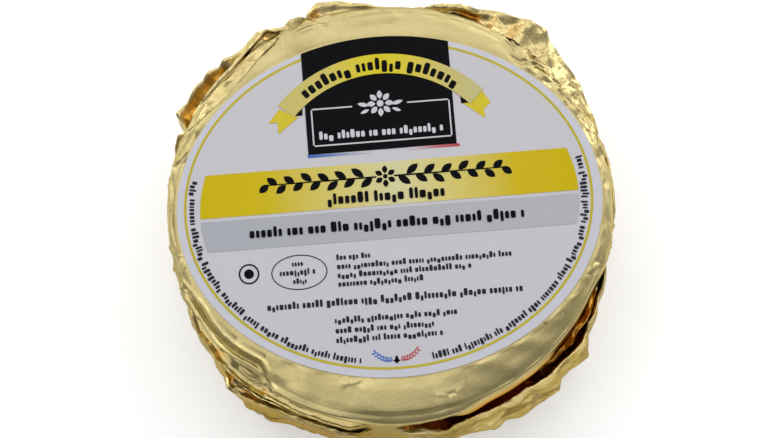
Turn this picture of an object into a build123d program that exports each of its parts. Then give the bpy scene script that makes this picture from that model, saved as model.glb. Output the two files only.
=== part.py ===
"""A hand-moulded puck of butter in a folded foil sheet, with an oval paper label on its top.

The origin is at the centre of the base, +Z is up, +X runs along the label's long axis
and +Y towards the label's top. All sizes are in millimetres, all angles in degrees.
"""

from build123d import *
from math import cos, hypot, pi, radians, sin
import os

os.makedirs("parts", exist_ok=True)

# The wrapped puck: a slightly oval drum with a tight shoulder and a softer foot.
puck_half_length = 52.7
puck_half_width = 50.5
puck_height = 33.0
shoulder_radius = 2.0
foot_radius = 3.2

# The label, glued flat to the top face, with a bare rim of foil all round it.
label_rim_ends = 0.5
label_rim_front = 8.6
label_rim_back = 6.1
label_thickness = 0.2

# Every fold's body runs a little way into the puck, so that foil and butter stay one
# solid. Its root starts just inside the wall, and its end is cut back on a slant.
fold_bite = 3.0
root_tuck = 0.3
fold_nose = 2.4
nose_bite = 1.5
fold_foot = 0.6
foot_clearance = 0.3

# The spare foil of each corner is pressed along the wall in leaves that lie over each
# other. A leaf is flush with the wall at its root and stands proud at its tip, and its
# top edge falls by the drop on the way there.
# Each row: root angle, tip angle, stand-off at the tip, top edge below the puck's top, drop.
back_left_leaves = [
    (107.0, 146.0, 3.4, 2.0, 3.0),
    (112.0, 138.0, 4.2, 6.0, 4.0),
    (118.0, 131.0, 4.8, 12.0, 5.0),
    (150.0, 158.0, 2.4, 3.5, 4.0),
]
front_left_leaves = [
    (191.0, 214.0, 2.6, 2.5, 4.0),
    (197.0, 222.0, 3.8, 7.0, 5.0),
    (238.0, 221.0, 4.6, 13.0, 4.0),
    (262.0, 236.0, 2.2, 4.0, 3.0),
]
back_right_leaves = [
    (66.0, 53.0, 2.8, 2.0, 3.0),
    (22.0, 47.0, 4.8, 5.0, 4.0),
    (29.0, 42.0, 5.4, 13.0, 5.0),
]
back_leaves = [
    (70.0, 90.0, 1.8, 3.5, 2.0),
    (92.0, 103.0, 2.6, 7.0, 4.0),
]
leaf_rows = back_left_leaves + front_left_leaves + back_right_leaves + back_leaves

# The front right collar: a band of foil that stands off the wall and leaves a pocket.
collar_start = 269.0
collar_end = 341.0
collar_stand_off = 4.2
collar_fullness = 0.6
collar_wall = 1.1
collar_below_top = 6.5
collar_foot = 1.6
pocket_depth = 14.0
pocket_inset = 5.0
collar_stations = 9

# Shallow gathers that run up the bare stretches of the wall, uneven in height.
gather_step = 9.0
gather_span = 5.0
gather_stand_off = 0.9
gather_below_top = 13.0
gather_spread = 4.0
gather_wander = 97.0
bare_stretches = [(160.0, 188.0), (-16.0, 18.0)]

# Folds of the sheet under the base, pressed flat and running in to the middle.
tuck_count = 14
tuck_width = 0.9
tuck_depth = 0.45
tuck_inner_radius = 14.0
tuck_rim = 7.0
tuck_lean = 14.0


def wall_point(angle, stand_off=0.0):
    """A point of the plan at one angle, at a stand-off outside the wall."""
    across = hypot(puck_half_width * cos(radians(angle)), puck_half_length * sin(radians(angle)))
    radius = puck_half_length * puck_half_width / across + stand_off
    return (radius * cos(radians(angle)), radius * sin(radians(angle)))


def leaf(root, tip, stand_off, below_top, drop):
    """One leaf of spare foil against the wall, with a sloping top edge."""
    turn = 1.0 if tip > root else -1.0
    middle = (root + tip) / 2
    outline = [
        wall_point(root, -root_tuck),
        wall_point(tip, stand_off),
        wall_point(tip + turn * fold_nose, -nose_bite),
        wall_point(tip, -fold_bite),
        wall_point(middle, -fold_bite),
        wall_point(root, -fold_bite),
    ]
    top = puck_height - below_top
    start = Vector(*wall_point(root, -root_tuck), top)
    finish = Vector(*wall_point(tip, stand_off), top - drop)
    inward = Vector(-cos(radians(middle)), -sin(radians(middle)), 0.0)
    slope = inward.cross(finish - start)
    if slope.Z < 0:
        slope = slope * -1
    with BuildPart() as piece:
        with BuildSketch(Plane.XY.offset(fold_foot)):
            with BuildLine():
                Polyline(*outline, close=True)
            make_face()
        extrude(amount=puck_height)
        split(bisect_by=Plane(origin=start, x_dir=inward, z_dir=slope), keep=Keep.BOTTOM)
    return piece.part


def crescent(first, last, proud, inner):
    """The plan of a band that leaves the wall at first, bulges and comes back at last."""
    outer = []
    back = []
    for station in range(collar_stations):
        share = station / (collar_stations - 1)
        bulge = proud * sin(pi * share) ** collar_fullness
        outer.append(wall_point(first + (last - first) * share, bulge))
        back.append(wall_point(last + (first - last) * share, -inner))
    with BuildSketch() as plan:
        with BuildLine():
            Spline(*outer)
            Line(outer[-1], back[0])
            Polyline(*back)
            Line(back[-1], outer[0])
        make_face()
    return plan.sketch


def collar_band():
    """The front right collar with the open pocket behind it."""
    collar_top = puck_height - collar_below_top
    band_plan = crescent(collar_start, collar_end, collar_stand_off, fold_bite)
    pocket_plan = crescent(
        collar_start + pocket_inset,
        collar_end - pocket_inset,
        collar_stand_off - collar_wall,
        nose_bite,
    )
    with BuildPart() as band:
        with BuildSketch(Plane.XY.offset(collar_foot)):
            add(band_plan)
        extrude(amount=collar_top - collar_foot)
        with BuildSketch(Plane.XY.offset(collar_top)):
            add(pocket_plan)
        extrude(amount=-pocket_depth, mode=Mode.SUBTRACT)
    return band.part


def gathers():
    """Small leaves along the bare stretches of the wall."""
    pieces = []
    for first, last in bare_stretches:
        for step in range(int((last - first) / gather_step) + 1):
            root = first + step * gather_step
            below_top = gather_below_top + gather_spread * sin(radians(gather_wander * root))
            pieces.append(leaf(root, root + gather_span, gather_stand_off, below_top, gather_spread))
    return pieces


# Leaves, collar and gathers, each a body of its own until they join the puck.
folds = [leaf(*row) for row in leaf_rows] + [collar_band()] + gathers()

# The form that the feet of the folds are pressed into when they turn under the base.
widest_fold = max([row[2] for row in leaf_rows] + [collar_stand_off]) + foot_clearance
with BuildPart() as pressed_form:
    with BuildSketch():
        Ellipse(puck_half_length + widest_fold, puck_half_width + widest_fold)
    extrude(amount=puck_height)
    rims = pressed_form.edges().filter_by(GeomType.ELLIPSE)
    fillet(rims.sort_by(Axis.Z)[0], radius=widest_fold + foot_radius - foot_clearance)

# The wrapped puck, butter and foil in one solid.
with BuildPart() as foil_wrap:
    with BuildSketch():
        Ellipse(puck_half_length, puck_half_width)
    extrude(amount=puck_height)
    rims = foil_wrap.edges().filter_by(GeomType.ELLIPSE)
    fillet(rims.sort_by(Axis.Z)[-1], radius=shoulder_radius)
    fillet(rims.sort_by(Axis.Z)[0], radius=foot_radius)
    for fold in folds:
        add(fold)
    add(pressed_form.part, mode=Mode.INTERSECT)
    with BuildSketch():
        for index in range(tuck_count):
            heading = index * 360.0 / tuck_count
            inner_x = tuck_inner_radius * cos(radians(heading))
            inner_y = tuck_inner_radius * sin(radians(heading))
            with BuildLine():
                Line((inner_x, inner_y), wall_point(heading + tuck_lean, -tuck_rim))
            trace(line_width=tuck_width)
    extrude(amount=tuck_depth, mode=Mode.SUBTRACT)
foil_wrap.part.label = "foil_wrap"
export_step(foil_wrap.part, "parts/foil_wrap.step")

# The oval paper label, on the flat of the top face.
label_half_length = puck_half_length - shoulder_radius - label_rim_ends
label_half_width = puck_half_width - shoulder_radius - (label_rim_front + label_rim_back) / 2
label_shift = (label_rim_front - label_rim_back) / 2
with BuildPart() as label:
    with BuildSketch(Plane((0.0, label_shift, puck_height))):
        Ellipse(label_half_length, label_half_width)
    extrude(amount=label_thickness)
label.part.label = "label"
export_step(label.part, "parts/label.step")
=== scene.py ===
import math
import random

import bpy
import numpy as np
from mathutils import Matrix, Vector


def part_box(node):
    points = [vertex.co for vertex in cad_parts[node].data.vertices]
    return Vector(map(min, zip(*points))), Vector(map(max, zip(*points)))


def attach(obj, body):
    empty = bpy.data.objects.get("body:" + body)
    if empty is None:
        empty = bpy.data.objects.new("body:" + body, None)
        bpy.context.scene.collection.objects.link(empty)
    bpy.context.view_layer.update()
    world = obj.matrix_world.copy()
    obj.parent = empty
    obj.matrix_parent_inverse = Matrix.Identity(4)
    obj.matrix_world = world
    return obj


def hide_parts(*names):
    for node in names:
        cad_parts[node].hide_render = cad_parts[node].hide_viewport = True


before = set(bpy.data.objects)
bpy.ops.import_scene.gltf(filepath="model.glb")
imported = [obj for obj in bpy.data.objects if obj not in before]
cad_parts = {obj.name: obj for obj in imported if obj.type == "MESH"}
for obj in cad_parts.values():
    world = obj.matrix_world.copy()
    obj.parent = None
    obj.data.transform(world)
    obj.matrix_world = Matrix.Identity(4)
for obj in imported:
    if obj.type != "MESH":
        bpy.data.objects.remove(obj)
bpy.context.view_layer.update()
mm = 0.001                                # everything below is written in millimetres

labelLow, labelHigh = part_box("label")
labelLow, labelHigh = labelLow / mm, labelHigh / mm

# the puck under the foil, worked out from where the label lies
puck = {
    "endRim": 2.5,                        # wall to label edge at the two ends
    "backRim": 8.1,                       # wall to label edge at the back
    "shoulder": 2.0,
    "foot": 3.2,
}
puck["halfLength"] = labelHigh.x + puck["endRim"]
puck["halfWidth"] = labelHigh.y + puck["backRim"]
puck["top"] = labelLow.z

label = {
    "centreX": (labelLow.x + labelHigh.x) / 2,
    "centreY": (labelLow.y + labelHigh.y) / 2,
    "halfLength": (labelHigh.x - labelLow.x) / 2,
    "halfWidth": (labelHigh.y - labelLow.y) / 2,
    "bottom": labelLow.z,
    "face": labelHigh.z,
    "softEdge": 0.05,
    "sides": 200,
    "heldOut": 0.4,                       # how far past its edge it holds the sheet flat
}


def deselectAll():
    for item in list(bpy.context.selected_objects):
        item.select_set(False)


def makeActive(piece):
    deselectAll()
    piece.select_set(True)
    bpy.context.view_layer.objects.active = piece


# a unit grid from 0 to 1, and the shares along and across of each of its points
def flatGrid(name, cols, rows):
    deselectAll()
    bpy.ops.mesh.primitive_grid_add(x_subdivisions=cols, y_subdivisions=rows, size=1.0,
                                    location=(0.5, 0.5, 0))
    piece = bpy.context.active_object
    piece.name = name
    piece.data.name = name
    bpy.ops.object.transform_apply(location=True, rotation=False, scale=False)
    flat = np.zeros(len(piece.data.vertices) * 3, np.float32)
    piece.data.vertices.foreach_get("co", flat)
    flat = flat.reshape(-1, 3).astype(float)
    return piece, flat[:, 0], flat[:, 1]


def setPoints(piece, points):
    piece.data.vertices.foreach_set("co", (np.asarray(points) * mm).astype(np.float32).ravel())
    piece.data.update()


def getPoints(piece):
    flat = np.zeros(len(piece.data.vertices) * 3, np.float32)
    piece.data.vertices.foreach_get("co", flat)
    return flat.reshape(-1, 3).astype(float) / mm


# a share for each point, which the foil's looks read
def markPoints(piece, name, shares):
    mark = piece.data.attributes.new(name, "FLOAT", "POINT")
    mark.data.foreach_set("value", shares.astype(np.float32))


def applyAll(piece):
    makeActive(piece)
    for modifier in list(piece.modifiers):
        bpy.ops.object.modifier_apply(modifier=modifier.name)


# merges what lies together, smooths it a little and turns its faces outwards
def tidyMesh(piece, gap=0.0, smooth=0):
    makeActive(piece)
    bpy.ops.object.mode_set(mode="EDIT")
    bpy.ops.mesh.select_all(action="SELECT")
    if gap > 0:
        bpy.ops.mesh.remove_doubles(threshold=gap * mm)
    if smooth > 0:
        bpy.ops.mesh.vertices_smooth(factor=0.5, repeat=smooth)
    bpy.ops.mesh.normals_make_consistent(inside=False)
    bpy.ops.object.mode_set(mode="OBJECT")


def thicken(piece, thickness, offset):
    wall = piece.modifiers.new("thickness", "SOLIDIFY")
    wall.thickness = thickness * mm
    wall.offset = offset
    applyAll(piece)


def finishPiece(piece, slotName, *looks):
    for look in looks:
        piece.data.materials.append(look)
    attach(piece, "root")
    return piece


def joinAll(name, parts):
    deselectAll()
    for part in parts:
        part.select_set(True)
    bpy.context.view_layer.objects.active = parts[0]
    if len(parts) > 1:
        bpy.ops.object.join()
    parts[0].name = name
    parts[0].data.name = name
    return parts[0]


def wallRadius(angle):
    a, b = puck["halfLength"], puck["halfWidth"]
    return a * b / np.hypot(b * np.cos(angle), a * np.sin(angle))


def smoothStep(low, high, value):
    share = np.clip((value - low) / (high - low), 0.0, 1.0)
    return share * share * (3 - 2 * share)


# 1 inside a stretch of the wall, 0 outside it, in degrees, across the seam too
def between(angle, first, last, soft):
    middle, half = (first + last) / 2, abs(last - first) / 2
    away = np.abs((np.degrees(angle) - middle + 180) % 360 - 180)
    return 1 - smoothStep(half - soft / 2, half + soft / 2, away)


# crumpled foil: random heights on a net of triangles, flat between its creases
def rumple(across, down, cell, seed, around=None):
    draw = np.random.RandomState(seed).uniform(-1, 1, (256, 256))
    rowHeight = cell * math.sqrt(3) / 2
    i = across / cell - down / rowHeight / 2
    j = down / rowHeight
    i0, j0 = np.floor(i).astype(int), np.floor(j).astype(int)
    f, g = i - i0, j - j0
    wrap = int(round(around / cell)) if around else 256

    def height(di, dj):
        return draw[(i0 + di) % wrap % 256, (j0 + dj) % 256]

    lower = height(0, 0) + f * (height(1, 0) - height(0, 0)) + g * (height(0, 1) - height(0, 0))
    upper = height(1, 1) + (1 - f) * (height(0, 1) - height(1, 1)) + (1 - g) * (height(1, 0) - height(1, 1))
    return np.where(f + g < 1, lower, upper)


# the way along the sheet, from where the flat ends, to a place told by its stand-off from the wall
def wayDown(standOff):
    shoulder = puck["shoulder"]
    if standOff <= -shoulder:
        return standOff + shoulder
    if standOff < 0:
        return shoulder * math.asin(1 + standOff / shoulder)
    return shoulder * math.pi / 2 + 2 * standOff


# the same line with its corners cut off, so that it bends softly
def softLine(path, corner=0.22):
    cut = [path[0]]
    for (a0, s0), (a1, s1) in zip(path, path[1:]):
        cut += [(a0 + (a1 - a0) * share, s0 + (s1 - s0) * share) for share in (corner, 1 - corner)]
    return cut + [path[-1]]


# distance to a line of (angle, stand-off) points: below 0 on its inner side, above 0 on its outer side
def gapTo(path, angle, down):
    x = np.degrees(angle) % 360
    scale = math.pi / 180 * puck["halfLength"]
    best = np.full_like(x, 1e6)
    signed = np.full_like(x, 1e6)
    for (a0, s0), (a1, s1) in zip(path, path[1:]):
        px = ((x - a0 + 180) % 360 - 180) * scale
        py = down - wayDown(s0)
        dx, dy = (a1 - a0) * scale, wayDown(s1) - wayDown(s0)
        t = np.clip((px * dx + py * dy) / (dx * dx + dy * dy), 0, 1)
        gap = np.hypot(px - t * dx, py - t * dy)
        side = np.where(px * dy - py * dx > 0, -1.0, 1.0)
        signed = np.where(gap < best, gap * side, signed)
        best = np.minimum(best, gap)
    return signed


skin = {
    "around": 700,
    "innerRings": [0.0, 0.35, 0.62],      # shares of the flat's radius, under the label
    "flatFrom": 0.765,
    "flatRings": 40,
    "shoulderRings": 12,
    "wallRings": 56,
    "footRings": 6,
    "baseRings": 10,
    "baseFolds": 17,
    "baseGrooves": 0.55,                  # depth of the tucks under the base
    "baseSag": 0.14,
    "underLabel": -0.03,
}

# the section of each kind of fold, from its inner to its outer side: distance, height
folds = {
    "pleat": [(-2.2, 0), (-1.15, 0.03), (-0.30, 0.44), (0, 0.52), (0.35, 0.0), (1.2, -0.42), (3.0, 0)],
    "ridge": [(-1.3, 0), (-0.4, 0.12), (0, 0.50), (0.4, 0.12), (1.3, 0)],
    "groove": [(-1.0, 0), (-0.4, -0.08), (0, -0.45), (0.4, -0.08), (1.0, 0)],
    "swell": [(-3.6, 0), (-2.7, 0.04), (-1.8, 0.13), (-0.9, 0.27), (0, 0.34), (0.9, 0.27), (1.8, 0.13),
              (2.7, 0.04), (3.6, 0)],
    "hemLine": [(-0.9, 0), (-0.3, 0.10), (0, 0.20), (0.35, -0.04), (1.0, 0)],
    "hollow": [(-4.0, 0), (-3.0, -0.03), (-2.0, -0.11), (-1.0, -0.24), (0, -0.30), (1.0, -0.24), (2.0, -0.11),
               (3.0, -0.03), (4.0, 0)],
}

# the taut shoulder: where its slope starts before the rounding, how far it drops, and its share elsewhere
bevel = {
    "before": 0.6,
    "drop": 1.6,
    "loose": 0.38,
    "dome": 0.50,
    "domeFrom": 9.5,
    "crispDome": 0.7,                     # how much of the dome a crisp edge takes away
    "rollOff": 0.82,                      # how far the top rolls off towards the collar
    "crisp": 0.8,
}

# narrow gaps between folds: width, depth, then angle and stand-off of each point of their line
slits = [
    (0.80, 2.6, [(119.0, 1.6), (121.5, 1.0), (125, 0.3), (129, -0.5), (133, -1.15), (137, -1.05), (144, -1.0),
                 (149, -0.7)]),
    (0.50, 0.9, [(106.6, -0.6), (110, 0.7), (113.5, 0.9), (117, 0.5)]),
]

# folds pressed into the sheet: kind, strength, then angle and stand-off of each point of its line
creases = [
    ("pleat", 1.2, [(195.5, -0.9), (199, -1.9), (204, -2.8), (208, -2.6), (212.7, -2.8), (219, -3.5),
                    (223, -4.3), (226, -4.7), (228.6, -3.6), (230.2, -2.3), (232.5, -0.9), (235.5, 0.8)]),
    ("pleat", 1.3, [(195.5, 0.2), (200, -0.1), (204.6, -0.5), (212.5, -0.4), (216, -0.6), (219, -1.2),
                    (226, -2.5), (229.7, -0.5), (231.5, 1.0)]),
    ("groove", 0.7, [(199, -1.1), (206, -1.6), (213, -1.5), (219, -2.4), (225, -3.5)]),
    ("ridge", 1.2, [(189, -2.3), (192.5, -1.5), (195.5, -0.5), (197, 1.2), (199, 3.2)]),
    ("groove", 1.0, [(193.5, 0.2), (195.3, -0.9), (198.6, -0.6)]),
    ("swell", 0.8, [(206, 0.6), (211, 0.2), (216, 0.8)]),
    ("hollow", 1.1, [(209, 1.2), (219, 0.2), (227, 0.2)]),
    ("ridge", 0.7, [(219, -1.0), (222.5, -0.4), (226.5, -0.2)]),
    ("hemLine", 0.35, [(236, -2.4), (244, -2.2), (254, -2.0), (264, -2.2), (274, -2.0), (281, -2.4)]),
    ("ridge", 0.45, [(251, -7.9), (254, -8.7), (257, -10.3)]),
    ("hemLine", 1.0, [(262, -10.9), (268, -11.1), (274, -10.8), (280, -10.2), (284, -9.9)]),
    ("swell", 0.45, [(236.5, -9.5), (238.5, -6.5), (241, -3.4)]),
    ("hollow", 0.6, [(233, -7.0), (236, -5.0)]),
    ("hollow", 0.5, [(243, -7.5), (246, -4.0)]),
    ("swell", 0.35, [(260, -8.6), (263, -5.0), (265, -2.4)]),
    ("groove", 0.8, [(282.9, -4.7), (284.3, -4.7)]),
    ("ridge", 0.20, [(279.5, -5.1), (283.6, -4.5), (287.5, -5.2)]),
    ("ridge", 0.25, [(283.5, -4.5), (283.0, -2.6), (281.5, -1.0)]),
    ("hollow", 0.5, [(291, -8.2), (294, -5.6), (300, -2.6)]),
    ("swell", 0.5, [(297, -8.6), (301, -6.0), (303, -3.2)]),
    ("hollow", 0.45, [(304, -8.6), (308, -6.2), (309, -3.0)]),
    ("swell", 0.55, [(309, -7.6), (313, -5.0), (315, -1.6)]),
    ("hollow", 0.6, [(315, -6.8), (319, -4.6), (321, -2.0)]),
    ("ridge", 0.6, [(320.0, -7.0), (323.0, -5.9), (325.0, -5.6)]),
    ("ridge", 0.5, [(329.0, -4.4), (331.5, -3.3), (333.5, -3.2)]),
    ("ridge", 0.7, [(338.2, -3.2), (339.2, -1.8), (340.5, -0.3)]),
    ("groove", 0.6, [(341.2, -2.4), (343.0, -1.0)]),
    ("ridge", 0.8, [(3.5, -1.6), (7.5, -1.0), (12.5, -1.5), (16, -0.6)]),
    ("groove", 1.0, [(10.5, -0.4), (13.0, -1.1), (15.5, -0.2)]),
    ("ridge", 1.0, [(19, -0.4), (24, -1.3), (29, -1.7), (34, -2.3), (38.5, -2.6)]),
    ("ridge", 0.9, [(22, -2.6), (27, -2.9), (31, -2.2), (35, -1.0)]),
    ("groove", 1.1, [(44.2, -3.2), (41.6, -2.6), (39.0, -1.4)]),
    ("ridge", 0.9, [(42.8, -1.7), (40.0, -0.9), (37.0, 0.4)]),
    ("groove", 0.8, [(47.5, -4.1), (44.5, -4.0)]),
    ("ridge", 1.0, [(53.5, -0.5), (50.5, -1.3), (47, -0.9), (44.5, 0.1)]),
    ("groove", 0.9, [(52.3, -0.1), (49.5, -0.5), (46.6, 0.1)]),
    ("ridge", 0.6, [(104, -2.8), (108, -1.2), (112, -1.2), (117, -2.3)]),
    ("ridge", 0.9, [(102.5, -0.2), (107, -0.9), (109.5, 0.2), (112, 0.9)]),
    ("groove", 0.8, [(108, 0.3), (112, -0.3), (116.5, -0.3)]),
    ("swell", 0.8, [(86, -3.0), (96, -3.6), (106, -4.2), (114, -4.0)]),
    ("ridge", 1.3, [(151.5, -1.9), (154, -3.3), (156.6, -3.2), (160.5, -1.6), (162.8, -0.4)]),
    ("groove", 1.1, [(153.4, -1.7), (156.6, -1.2), (160, -0.2)]),
    ("ridge", 0.7, [(154.2, -0.5), (158, 0.2), (163, 0.5)]),
    ("hemLine", 0.8, [(164, -2.1), (172, -2.4), (181, -2.0), (188, -2.3)]),
    ("ridge", 0.8, [(166, 0.4), (172, -0.6), (178, -0.2), (186, -1.2)]),
]

# stretches of the wall: first and last angle, and how softly they end
stretches = {
    "right": (-20, 12, 8),
    "backRight": (12, 46, 10),
    "back": (46, 112, 8),
    "backLeft": (112, 162, 10),
    "left": (163, 193, 8),
    "frontLeft": (196, 236, 10),
    "crispFrom": (231, 265, 8),           # where both hold, the top runs flat to a sharp edge
    "crispTo": (200, 256, 18),
    "front": (234, 340, 14),
    "calmFront": (234, 286, 12),
    "tautFront": (256, 286, 18),
    "hem": (284, 314, 5),                 # over the collar's pocket
    "rolled": (288, 338, 12),             # where the top rolls off towards the collar
}

# the sheet's crumple in four grades: how many creases go round the puck, and their seed
crumple = {"dents": (30, 11), "large": (44, 5), "small": (84, 3), "tiny": (150, 8)}

# how strongly each stretch of the shoulder is crumpled
shoulderCrumple = {
    "frontLeft": {"large": 0.36, "small": 0.36, "tiny": 0.14},
    "backLeft": {"small": 0.22},
    "right": {"small": 0.26, "tiny": 0.12},
    "back": {"small": 0.16},
}

# the wall's upright pleats: degrees apart, depth, how uneven it is, and the gathers near the foot
pleats = {"apart": 6.0, "depth": 0.55, "uneven": 0.30, "gathers": 0.30}

# where a fold or the collar hides the wall and the wall gets painted shade: first and last angle, height of
# its edge
paintedShadeStretches = [(114, 149, 29.5), (226, 255, 26.5), (272, 284, 27.0), (284, 334, 30.8), (46, 53, 30),
                 (59, 69, 31.5)]

# where the sheet is crushed small: first and last angle, how much, and the way down over which it grows.
# both sides of these folds are crushed too
crushedStretches = [(14, 46, 1.0, -1.5, 0.8), (197, 232, 0.5, 0.5, 3.0)]
crushedFolds = {"pleat": 0.25, "ridge": 0.5}


# how far the foil stands off the smooth puck at each point, along its normal
def sculptSkin(angle, down, turn, loose):
    across = angle * puck["halfLength"]
    around = 2 * math.pi * puck["halfLength"]
    wander = 1.1 * np.sin(5 * angle + down * 0.35) + 0.8 * np.sin(11 * angle - down * 0.6)
    at = {name: between(angle, *stretch) for name, stretch in stretches.items()}
    onWall = smoothStep(3.5, 8.0, down) * (1 - smoothStep(32, 35, down))
    atShoulder = smoothStep(-2.5, 0.5, down) * (1 - smoothStep(6, 12, down))
    onFlat = 1 - smoothStep(-1.5, 0.0, down)
    calm = np.maximum(at["calmFront"], at["left"])
    taut = np.maximum(at["tautFront"], at["left"])
    crisp = at["crispFrom"] * at["crispTo"]
    rolled = at["rolled"]
    off = loose * (0.16 * np.sin(3 * angle + 0.6) + 0.12 * np.sin(7 * angle + down * 0.12))

    # the shoulder is pressed to a flat slope where the sheet is taut, and the top falls a little towards it
    before, slope = bevel["before"], bevel["drop"] / (puck["shoulder"] + bevel["before"])
    reach = (puck["shoulder"] - slope * before) / (np.cos(turn) + slope * np.sin(turn))
    pressed = np.where(turn > 0, np.minimum(reach, puck["shoulder"]) - puck["shoulder"],
                       -slope * np.clip(down + before, 0, before) * (down <= 0))
    off += (bevel["loose"] + (1 - bevel["loose"]) * taut) * (1 - rolled) * (1 - crisp) * pressed
    fall = np.clip((down + bevel["domeFrom"]) / bevel["domeFrom"], 0, 1) ** 2
    dome = bevel["dome"] * (1 - bevel["crispDome"] * crisp) * fall + bevel["rollOff"] * rolled * fall ** 3
    off -= dome * loose * (1 - smoothStep(0.0, 2.5 + 9.0 * rolled, down))
    off += bevel["crisp"] * crisp * puck["shoulder"] * (1 / np.maximum(np.cos(turn), np.sin(turn)) - 1)

    def grade(name, across, down):
        count, seed = crumple[name]
        return rumple(across, down, around / count, seed, around)

    large = grade("large", across + 2 * wander, down)
    small = grade("small", across + wander, down + wander)
    tiny = grade("tiny", across - wander, down + wander)
    dents = grade("dents", across + 3 * wander, down)
    grades = {"large": large, "small": small, "tiny": tiny}
    field = at["backRight"] * smoothStep(-3.6, -2.0, down) * (1 - smoothStep(10, 18, down))
    off += field * (0.70 * small + 0.36 * tiny)
    for name, shares in shoulderCrumple.items():
        off += atShoulder * at[name] * sum(share * grades[size] for size, share in shares.items())
    off += atShoulder * calm * 0.09 * small
    # soft dents of the flat, where the sheet lies on butter
    off += onFlat * loose * (0.15 * dents + 0.04 * large)
    # the wall's long upright pleats, uneven in width and depth
    sway = 2.6 * np.sin(4 * angle + 1) + 1.2 * np.sin(9 * angle)
    lean = (np.degrees(angle) + sway + down * 0.12) / pleats["apart"]
    upright = np.abs(lean % 1 - 0.5) * 2
    depth = pleats["depth"] + pleats["uneven"] * np.sin(np.floor(lean) * 2.3)
    wall = depth * (upright - 0.35) + 0.34 * large + 0.26 * small + 0.10 * tiny
    off += onWall * (1 - 0.7 * at["front"]) * wall
    gathers = np.abs(lean * 2 % 1 - 0.5) * 2 - 0.5
    off += pleats["gathers"] * onWall * smoothStep(24, 31, down) * gathers
    # the hem over the collar's pocket stands out and turns in below
    standOut = smoothStep(3.4, 5.2, down) - 2 * smoothStep(5.6, 7.2, down) + smoothStep(14, 22, down)
    off += 0.75 * at["hem"] * standOut
    off -= 0.25 * at["front"] * smoothStep(3, 9, down) * (1 - smoothStep(18, 26, down))
    for kind, strength, path in creases:
        gaps, heights = zip(*folds[kind])
        off += strength * np.interp(gapTo(softLine(softLine(path)), angle, down), gaps, heights)
    for width, depth, path in slits:
        off -= depth * (1 - smoothStep(width * 0.4, width * 0.9, np.abs(gapTo(path, angle, down))))
    return off


# one row of rings from the middle of the top over the shoulder, down the wall and in under the base
def skinRings():
    shares = skin["innerRings"] + list(np.linspace(skin["flatFrom"], 1.0, skin["flatRings"]))
    rings = [("flat", share) for share in shares]
    for kind in ("shoulder", "wall", "foot", "base"):
        count = skin[kind + "Rings"]
        rings += [(kind, (k + 1) / count) for k in range(count)]
    return rings


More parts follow.
